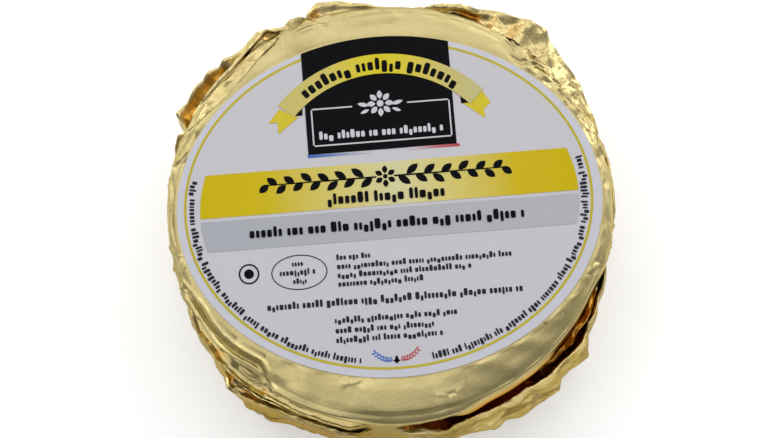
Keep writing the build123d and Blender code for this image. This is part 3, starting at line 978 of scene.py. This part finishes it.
paperLook = makePaper("labelPaper", (0.662, 0.662, 0.740, 1), (0.631, 0.631, 0.704, 1))
labelPaper = ovalPlate("label_paper", label["centreX"], label["centreY"], label["halfLength"],
                       label["halfWidth"], label["bottom"], label["face"], label["softEdge"])
finishPiece(labelPaper, "label", paperLook)
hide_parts("label")

# what is printed on the label, as thin films of ink. places are from the label's centre,
# x along it and y towards its top, and a higher level lies over a lower one
ink = {"film": 0.03, "step": 0.035, "sunk": 0.02}


def layInk(piece, x, y, level):
    height = label["face"] + ink["step"] * level
    setPoints(piece, np.stack([label["centreX"] + x, label["centreY"] + y, np.full_like(x, height)], 1))
    thicken(piece, ink["film"], 1.0)
    return piece


# a field of ink; shape turns its shares along and up into a place
def printField(name, cols, rows, shape, level, look):
    piece, u, v = flatGrid(name, cols, rows)
    x, y = shape(u, v)
    layInk(piece, x, y, level)
    tidyMesh(piece, gap=0.005)
    return finishPiece(piece, "label", look)


# flat outlines of ink, each drawn round its own points
def printPatches(name, outlines, level, look):
    parts = []
    for outline in outlines:
        deselectAll()
        bpy.ops.mesh.primitive_circle_add(vertices=len(outline), radius=1.0, fill_type="NGON")
        part = bpy.context.active_object
        spots = np.array(outline, float)
        layInk(part, spots[:, 0], spots[:, 1], level)
        parts.append(part)
    patches = joinAll(name, parts)
    tidyMesh(patches)
    return finishPiece(patches, "label", look)


# the one small block of ink that stands for a letter, with softened corners
def roundedBlock():
    deselectAll()
    bpy.ops.mesh.primitive_plane_add(size=mm)
    block = bpy.context.active_object
    bpy.ops.object.mode_set(mode="EDIT")
    bpy.ops.mesh.select_all(action="SELECT")
    bpy.ops.mesh.bevel(offset=0.22 * mm, segments=2, affect="VERTICES")
    bpy.ops.object.mode_set(mode="OBJECT")
    thicken(block, ink["film"], 1.0)
    return block


# copies of the block: middle, width, height and turn of each
def printBlocks(name, blocks, level, look):
    first = roundedBlock()
    height = (label["face"] + ink["step"] * level) * mm
    copies = []
    for x, y, wide, tall, turn in blocks:
        copy = bpy.data.objects.new(name, first.data.copy())
        place = Matrix.Translation(((label["centreX"] + x) * mm, (label["centreY"] + y) * mm, height))
        copy.data.transform(place @ Matrix.Rotation(turn, 4, "Z") @ Matrix.Diagonal((wide, tall, 1, 1)))
        bpy.context.scene.collection.objects.link(copy)
        copies.append(copy)
    bpy.data.objects.remove(first)
    return finishPiece(joinAll(name, copies), "label", look)


# blocks in groups like words, from start to end along a line that place turns into x, y and turn
def rowOfBlocks(start, end, tall, seed, words, place, letter=0.5):
    draw = random.Random(seed)
    blocks, at = [], start
    while at < end - tall * 0.4:
        for _ in range(draw.randint(*words)):
            wide = tall * draw.uniform(letter * 0.55, letter * 1.15)
            if at + wide > end:
                break
            body = tall * draw.choice((0.70, 0.70, 0.70, 1.0))
            low = tall * draw.choice((0, 0, 0, 0, -0.24))
            x, y, turn = place(at + wide / 2, low + body / 2)
            blocks.append((x, y, wide, body, turn))
            at += wide + tall * 0.16
        at += tall * 0.36
    return blocks


def straight(baseline):
    return lambda along, up: (along, baseline + up, 0.0)


# along is the length of arc to the right of the arc's top
def onArc(middleY, radius):
    def place(along, up):
        turn = -along / radius
        return -math.sin(turn) * (radius + up), middleY + math.cos(turn) * (radius + up), turn
    return place


# along the inside of the ring, read from its middle, between two angles; gives its length too
def insideRing(inset, first, last):
    a, b = ring["halfLength"] - inset, ring["halfWidth"] - inset
    steps = np.linspace(math.radians(first), math.radians(last), 400)
    x, y = ring["x"] + a * np.cos(steps), ring["y"] + b * np.sin(steps)
    run = np.concatenate([[0], np.cumsum(np.hypot(np.diff(x), np.diff(y)))])

    def place(along, up):
        angle = float(np.interp(along, run, steps))
        alongX, alongY = -a * math.sin(angle), b * math.cos(angle)
        size = math.hypot(alongX, alongY)
        return (ring["x"] + a * math.cos(angle) - alongY / size * up,
                ring["y"] + b * math.sin(angle) + alongX / size * up, math.atan2(alongY, alongX))
    return place, float(run[-1])


# a leaf blade: its foot, length, width and heading
def blade(x, y, length, wide, turn, points=5):
    outline = []
    for side, order in ((1, range(points)), (-1, range(points, 0, -1))):
        for k in order:
            share = k / points
            bow = side * wide / 2 * math.sin(math.pi * share) ** 0.8
            along = length * share
            outline.append((x + along * math.cos(turn) - bow * math.sin(turn),
                            y + along * math.sin(turn) + bow * math.cos(turn)))
    return outline


# a blade that points away from x, y and starts a little way out
def ray(x, y, out, turn, length, wide):
    return blade(x + out * math.cos(turn), y + out * math.sin(turn), length, wide, turn)


def disc(x, y, wide, tall, points=28):
    return [(x + wide * math.cos(2 * math.pi * k / points), y + tall * math.sin(2 * math.pi * k / points))
            for k in range(points)]


def loopField(x, y, wide, tall, line):
    def shape(u, v):
        angle = u * 2 * math.pi
        return x + (wide - line * (1 - v)) * np.cos(angle), y + (tall - line * (1 - v)) * np.sin(angle)
    return shape


def slab(x0, y0, x1, y1):
    return lambda u, v: (x0 + (x1 - x0) * u, y0 + (y1 - y0) * v)


plain, faint = (1, 1, 1, 1), (0.94, 0.94, 0.94, 1)
innerTone = (0.647, 0.636, 0.678, 1)
blackInk = makePaper("blackInk", (0.0040, 0.0040, 0.0055, 1), (0.0060, 0.0060, 0.0075, 1), 0.6, 0.05)
softBlackInk = makePaper("softBlackInk", (0.018, 0.018, 0.030, 1), (0.030, 0.030, 0.046, 1), 0.6, 0.10)
whiteInk = makePaper("whiteInk", (0.683, 0.683, 0.725, 1), (0.600, 0.600, 0.642, 1), 0.5)
innerPaper = makePaper("innerPaper", innerTone, (0.616, 0.606, 0.647, 1), 0.5)
ringInk = makePaper("ringInk", (0.594, 0.504, 0.050, 1), (0.540, 0.450, 0.036, 1), 0.5, 0.1)
tailInk = makePaper("ribbonTailInk", (0.766, 0.621, 0.051, 1), (0.704, 0.559, 0.033, 1), 0.5, 0.1)
blueInk = makePaper("blueInk", (0.031, 0.124, 0.517, 1), (0.041, 0.155, 0.517, 1), 0.5)
redInk = makePaper("redInk", (0.517, 0.041, 0.051, 1), (0.538, 0.073, 0.083, 1), 0.5)
barInk = makePaper("yellowBarInk", plain, faint, 0.5, 0.1, {"from": -44.6, "to": 44.6, "inks": [
    (0.0, (0.683, 0.517, 0.005, 1)), (0.18, (0.704, 0.538, 0.013, 1)), (0.38, (0.766, 0.662, 0.207, 1)),
    (0.52, (0.774, 0.734, 0.403, 1)), (0.66, (0.771, 0.662, 0.207, 1)), (0.84, (0.704, 0.527, 0.013, 1)),
    (1.0, (0.672, 0.508, 0.006, 1))]})
greyInk = makePaper("greyBarInk", plain, faint, 0.5, 0.4, {"from": -44.6, "to": 44.6, "inks": [
    (0.0, (0.450, 0.471, 0.517, 1)), (0.5, (0.502, 0.508, 0.548, 1)), (1.0, (0.517, 0.512, 0.564, 1))]})
ribbonInk = makePaper("ribbonInk", plain, faint, 0.5, 0.1, {"from": -23.0, "to": 23.0, "inks": [
    (0.0, (0.662, 0.580, 0.186, 1)), (0.20, (0.714, 0.600, 0.166, 1)), (0.36, (0.774, 0.642, 0.062, 1)),
    (0.50, (0.774, 0.652, 0.023, 1)), (0.66, (0.774, 0.642, 0.062, 1)), (0.82, (0.693, 0.590, 0.186, 1)),
    (1.0, (0.621, 0.569, 0.258, 1))]})
blueStreakInk = makePaper("blueStreakInk", plain, faint, 0.5, 0.5, {"from": -18.4, "to": -3.5, "inks": [
    (0.0, (0.021, 0.104, 0.517, 1)), (0.35, (0.104, 0.207, 0.569, 1)), (1.0, innerTone)]})
redStreakInk = makePaper("redStreakInk", plain, faint, 0.5, 0.5, {"from": 5.5, "to": 17.7, "inks": [
    (0.0, innerTone), (0.6, (0.569, 0.124, 0.145, 1)), (1.0, (0.517, 0.026, 0.036, 1))]})

# the printed ring sits a little off the cut edge, as labels are cut
ring = {
    "x": -0.2,
    "y": 0.4,
    "halfLength": label["halfLength"] - 1.9,
    "halfWidth": label["halfWidth"] - 1.5,
    "line": 0.62,
    "overlap": 0.3,
    "barInset": 5.5,                      # from the label's edge to the ends of the bars
}


# a panel with upright sides whose top follows the label's edge
def panelShape(u, v):
    x = -18.2 + 35.2 * u
    top = label["halfWidth"] * np.sqrt(1 - (x / label["halfLength"]) ** 2) - 0.03
    return x, 13.5 + (top - 13.5) * v


# a band right across, with ends that follow the ring
def bandBetween(low, high):
    def shape(u, v):
        y = low + (high - low) * v
        a, b = label["halfLength"] - ring["barInset"], label["halfWidth"] - ring["barInset"]
        return a * np.sqrt(1 - (y / b) ** 2) * (2 * u - 1), y
    return shape


ribbon = {"middleY": 3.3, "inner": 28.7, "width": 4.8, "halfSpan": 47}


def ribbonShape(u, v):
    angle = math.radians(90 + ribbon["halfSpan"]) - math.radians(2 * ribbon["halfSpan"]) * u
    reach = ribbon["inner"] + ribbon["width"] * v
    return reach * np.cos(angle), ribbon["middleY"] + reach * np.sin(angle)


print("printing the label")
innerOval = ovalPlate("labelInnerTint", label["centreX"] + ring["x"], label["centreY"] + ring["y"],
                      ring["halfLength"] - ring["overlap"], ring["halfWidth"] - ring["overlap"],
                      label["face"] - ink["sunk"], label["face"] + ink["film"])
finishPiece(innerOval, "label", innerPaper)
printField("labelRing", label["sides"], 1,
           loopField(ring["x"], ring["y"], ring["halfLength"], ring["halfWidth"], ring["line"]), 1, ringInk)
printField("labelYellowBar", 60, 8, bandBetween(0.0, 10.4), 2, barInk)
printField("labelGreyBar", 60, 6, bandBetween(-8.1, -0.8), 2, greyInk)
printField("labelBlackPanel", 40, 8, panelShape, 3, blackInk)
printField("labelBlueStreak", 30, 2, lambda u, v: (-18.4 + 15 * u, 12.75 + 0.75 * v * (1 - 0.5 * u)), 2,
           blueStreakInk)
printField("labelRedStreak", 30, 2, lambda u, v: (5.5 + 12.2 * u, 12.85 + 0.65 * v), 2, redStreakInk)

leftTail = [(-24.3, 25.2), (-27.1, 21.9), (-24.9, 21.9), (-24.9, 19.1), (-19.9, 22.9), (-21.1, 23.3)]
rightTail = [(23.8, 26.3), (25.9, 22.9), (24.2, 21.5), (24.3, 19.1), (19.4, 23.1), (20.9, 23.3)]
printPatches("labelRibbonTails", [leftTail, rightTail], 3, tailInk)
printPatches("labelRibbonShadows", [[(-21.1, 23.2), (-18.8, 25.1), (-18.9, 23.2)],
                                    [(21.1, 23.2), (18.8, 25.1), (18.9, 23.2)]], 4, blackInk)
printField("labelRibbon", 60, 4, ribbonShape, 5, ribbonInk)

panelLines = [(-16.9, 15.3, 16.2, 15.65), (-16.9, 15.3, -16.55, 24.6), (15.85, 15.3, 16.2, 24.6),
              (-16.9, 24.25, -7.0, 24.6), (6.1, 24.25, 16.2, 24.6)]
for index, corners in enumerate(panelLines):
    printField(f"labelPanelLine{index + 1}", 4, 1, slab(*corners), 4, whiteInk)

# a flower stands in the panel
flower = {"x": -0.3, "y": 24.7, "petals": 8}
rosette = [disc(flower["x"], flower["y"], 0.8, 0.8)]
for k in range(flower["petals"]):
    turn = 2 * math.pi * k / flower["petals"]
    rosette.append(ray(flower["x"], flower["y"], 1.1, turn, 2.1, 1.3))
for side in (-1, 1):
    for lift, length, wide, lean in ((-0.4, 2.8, 1.0, 15), (-1.3, 2.3, 0.8, -22)):
        heading = math.radians(lean if side > 0 else 180 - lean)
        rosette.append(blade(flower["x"] + side * 2.7, flower["y"] + lift, length, wide, heading))
printPatches("labelRosette", rosette, 4, whiteInk)

# a garland of leaves runs along the yellow bar
garland = {"x": -0.5, "y": 6.9, "leaves": 13, "step": 2.05, "halfStem": 28.5}
sprig = []
for k in range(garland["leaves"]):
    for side in (-1, 1):
        heading = math.radians(38 if k % 2 else -38)
        turn = heading if side > 0 else math.pi - heading
        x, y = garland["x"] + side * (3.0 + garland["step"] * k), garland["y"] + 0.25 * math.sin(k * 1.1)
        sprig.append(blade(x, y, 3.7 - 0.06 * k, 1.75, turn))
for k in range(6):
    turn = math.pi / 3 * k + math.pi / 6
    sprig.append(ray(garland["x"], garland["y"], 0.75, turn, 1.9, 1.3))
sprig.append(disc(garland["x"], garland["y"], 0.55, 0.55))
for side in (-1, 1):
    near, far = garland["x"] + side * 2.1, garland["x"] + side * garland["halfStem"]
    sprig.append([(near, garland["y"] - 0.2), (far, garland["y"] - 0.12), (far, garland["y"] + 0.12),
                  (near, garland["y"] + 0.2)])
printPatches("labelGarland", sprig, 4, blackInk)

boldBlocks = rowOfBlocks(-14.5, 13.6, 2.6, 5, (5, 7), straight(1.1))
boldBlocks += rowOfBlocks(-33.4, 32.7, 2.45, 9, (3, 7), straight(-5.5))
boldBlocks += rowOfBlocks(-19.0, 19.2, 2.9, 14, (7, 9), onArc(ribbon["middleY"], 29.7))
printBlocks("labelBoldBlocks", boldBlocks, 6, blackInk)
printBlocks("labelPanelBlocks", rowOfBlocks(-15.3, 14.6, 2.0, 21, (2, 8), straight(16.9)), 6, whiteInk)

oval = {
    "x": -22.4,
    "y": -14.5,
    "halfLength": 6.6,
    "halfWidth": 4.2,
    "line": 0.26,
    "rows": -13.0,                        # baseline of its first row of blocks
    "rowStep": 2.1,
}

# start, end, baseline and height of each small row
smallRows = [(-13.5, -4.5, -12.3, 1.35), (-13.5, 27.6, -14.5, 1.45), (-13.5, 18.2, -16.6, 1.45),
             (-13.5, 6.5, -18.7, 1.45), (-30.5, 30.2, -23.1, 1.75), (-15.0, 14.4, -27.3, 1.5),
             (-15.0, 8.7, -29.7, 1.5), (-15.0, 10.2, -32.0, 1.5)]
smallBlocks = []
for index, (start, end, baseline, tall) in enumerate(smallRows):
    smallBlocks += rowOfBlocks(start, end, tall, 31 + index, (3, 10), straight(baseline))
for index, (first, last) in enumerate(((166.5, 259.0), (279.0, 372.5))):
    place, length = insideRing(1.3, first, last)
    smallBlocks += rowOfBlocks(0, length, 1.65, 51 + index, (3, 9), place, 0.42)
for row, (reach, tall) in enumerate(((1.6, 1.3), (4.6, 1.5), (1.6, 1.3))):
    baseline = straight(oval["rows"] - oval["rowStep"] * row)
    smallBlocks += rowOfBlocks(oval["x"] - reach, oval["x"] + reach, tall, 61 + row, (9, 9), baseline)
printBlocks("labelSmallBlocks", smallBlocks, 2, softBlackInk)

ovalLine = loopField(oval["x"], oval["y"], oval["halfLength"], oval["halfWidth"], oval["line"])
printField("labelOvalMark", 64, 1, ovalLine, 2, softBlackInk)
printField("labelRoundMark", 48, 1, loopField(-34.2, -14.0, 2.45, 2.45, 0.42), 2, softBlackInk)
printPatches("labelRoundMarkCentre", [disc(-34.2, -14.0, 1.15, 1.15)], 2, blackInk)

# two small sprigs, blue and red, meet over a dark seed at the foot of the ring
seed = {"x": -1.3, "y": -36.9}
for name, side, look in (("labelBlueSprig", -1, blueInk), ("labelRedSprig", 1, redInk)):
    needles = []
    for k in range(7):
        x = seed["x"] + side * (1.0 + 0.62 * k)
        y = seed["y"] - 0.2 + 0.055 * k * k
        for lean in (62, -8):
            turn = math.radians(lean if side > 0 else 180 - lean)
            needles.append(blade(x, y, 1.15, 0.42, turn, 3))
    printPatches(name, needles, 2, look)
seedShapes = [disc(seed["x"], seed["y"], 0.45, 1.0, 6), disc(seed["x"], seed["y"] - 0.3, 0.9, 0.3, 8)]
printPatches("labelDarkSeed", seedShapes, 2, blackInk)

print("setting the stage")
stage = {
    "floorSize": 5.0,
    "floorColour": (0.80, 0.80, 0.80, 1),
    "glowNear": 0.42,                     # added where the floor is near the object, and farther off; less near it, a painted shade round the object
    "glowFar": 0.68,
    "nearReach": 0.05,
    "farReach": 0.17,
    # how bright the room is, by the height looked at: 0 the horizon, 1 straight up
    "room": [(0.0, 1.0), (0.10, 1.0), (0.24, 0.42), (0.85, 0.42), (1.0, 0.66)],
    "frontShade": 0.46,                   # the room's share that is left in front, on the left
    "frontReach": (-0.75, 0.15),          # from its darkest to where it ends
    "frontLean": 0.5,
}


def makeFloor():
    deselectAll()
    bpy.ops.mesh.primitive_plane_add(size=stage["floorSize"], location=(0, 0, 0))
    floor = bpy.context.active_object
    floor.name = "floor"
    look, nodes, links, shader = newLook("floorPaper")
    shader.inputs["Base Color"].default_value = stage["floorColour"]
    shader.inputs["Roughness"].default_value = 0.9
    reach = nodes.new("ShaderNodeVectorMath")
    reach.operation = "LENGTH"
    links.new(nodes.new("ShaderNodeTexCoord").outputs["Object"], reach.inputs[0])
    glow = makeRange(nodes, links, reach.outputs["Value"], stage["nearReach"], stage["farReach"],
                     stage["glowNear"], stage["glowFar"])
    path = nodes.new("ShaderNodeLightPath")
    seen = makeSum(nodes, links, "MAXIMUM", path.outputs["Is Camera Ray"], path.outputs["Is Glossy Ray"])
    seen = makeSum(nodes, links, "MAXIMUM", seen, path.outputs["Is Transmission Ray"])
    shader.inputs["Emission Color"].default_value = (1, 1, 1, 1)
    links.new(makeSum(nodes, links, "MULTIPLY", seen, glow), shader.inputs["Emission Strength"])
    floor.data.materials.append(look)


def makeWorld():
    world = bpy.data.worlds.new("studio")
    bpy.context.scene.world = world
    world.use_nodes = True
    nodes, links = world.node_tree.nodes, world.node_tree.links
    back = nodes["Background"]
    apart = nodes.new("ShaderNodeSeparateXYZ")
    links.new(nodes.new("ShaderNodeTexCoord").outputs["Generated"], apart.inputs["Vector"])
    greys = [(spot, (level, level, level, 1)) for spot, level in stage["room"]]
    light = makeRamp(nodes, links, apart.outputs["Z"], greys)
    front = makeSum(nodes, links, "MULTIPLY_ADD", apart.outputs["X"], stage["frontLean"], apart.outputs["Y"])
    shade = makeRange(nodes, links, front, *stage["frontReach"], stage["frontShade"], 1.0)
    room = makeMix(nodes, links, 1.0, light, shade, "MULTIPLY")
    cameraRay = nodes.new("ShaderNodeLightPath").outputs["Is Camera Ray"]
    links.new(makeMix(nodes, links, cameraRay, room, (1, 1, 1, 1)), back.inputs["Color"])
    back.inputs["Strength"].default_value = 1.0


# a soft box aimed at the middle of the object; its level is how bright its face is
def softBox(name, place, wide, tall, level):
    lamp = bpy.data.lights.new(name, "AREA")
    lamp.shape = "RECTANGLE"
    lamp.size, lamp.size_y = wide, tall
    lamp.energy = level * math.pi * wide * tall
    holder = bpy.data.objects.new(name, lamp)
    bpy.context.scene.collection.objects.link(holder)
    holder.location = place
    holder.rotation_euler = (-Vector(place)).to_track_quat("-Z", "Y").to_euler()
    holder.visible_camera = False


# place, width, height and level of each soft box
lamps = {
    "overheadBox": ((-0.22, 0.46, 1.25), 1.0, 0.80, 1.05),
    "backBox": ((0.0, 1.15, 0.85), 1.4, 0.40, 1.4),
    "backRightBox": ((0.98, 0.55, 0.55), 0.6, 0.40, 2.3),
    "backLeftBox": ((-0.85, 0.95, 0.52), 0.7, 0.40, 2.0),
    "leftBox": ((-1.15, 0.30, 0.70), 0.6, 0.30, 1.6),
    "leftStrip": ((-0.80, 0.55, 0.95), 0.60, 0.12, 5.0),
    "rightStrip": ((0.80, 0.50, 0.95), 0.90, 0.12, 2.2),
    "ridgeBox": ((0.68, 0.90, 0.94), 0.80, 0.60, 1.7),
    "frontLeftStrip": ((-1.0, -0.38, 1.25), 0.60, 0.08, 4.0),
}
makeFloor()
makeWorld()
for lampName, box in lamps.items():
    softBox(lampName, *box)

view = {
    "azimuth": -4.6,
    "elevation": 78.0,
    "distance": 0.65,
    "fieldWidth": 183.8,                  # width of the field seen at the label
    "aimRight": 0.07,
    "aimDown": 3.39,
    "sensor": 36,
}


def makeCamera():
    azimuth, elevation = math.radians(view["azimuth"]), math.radians(view["elevation"])
    back = Vector((math.sin(azimuth) * math.cos(elevation), -math.cos(azimuth) * math.cos(elevation),
                   math.sin(elevation)))
    right = Vector((math.cos(azimuth), math.sin(azimuth), 0))
    up = back.cross(right)
    data = bpy.data.cameras.new("camera")
    data.sensor_width = view["sensor"]
    data.lens = view["sensor"] * view["distance"] / (view["fieldWidth"] * mm)
    data.clip_start, data.clip_end = 0.01, 20
    camera = bpy.data.objects.new("camera", data)
    bpy.context.scene.collection.objects.link(camera)
    aim = Vector((label["centreX"], label["centreY"], label["face"])) * mm
    aim += (right * view["aimRight"] - up * view["aimDown"]) * mm
    camera.location = aim + back * view["distance"]
    camera.rotation_euler = Matrix((right, up, back)).transposed().to_euler()
    bpy.context.scene.camera = camera


makeCamera()
bpy.context.scene.view_settings.view_transform = "Standard"
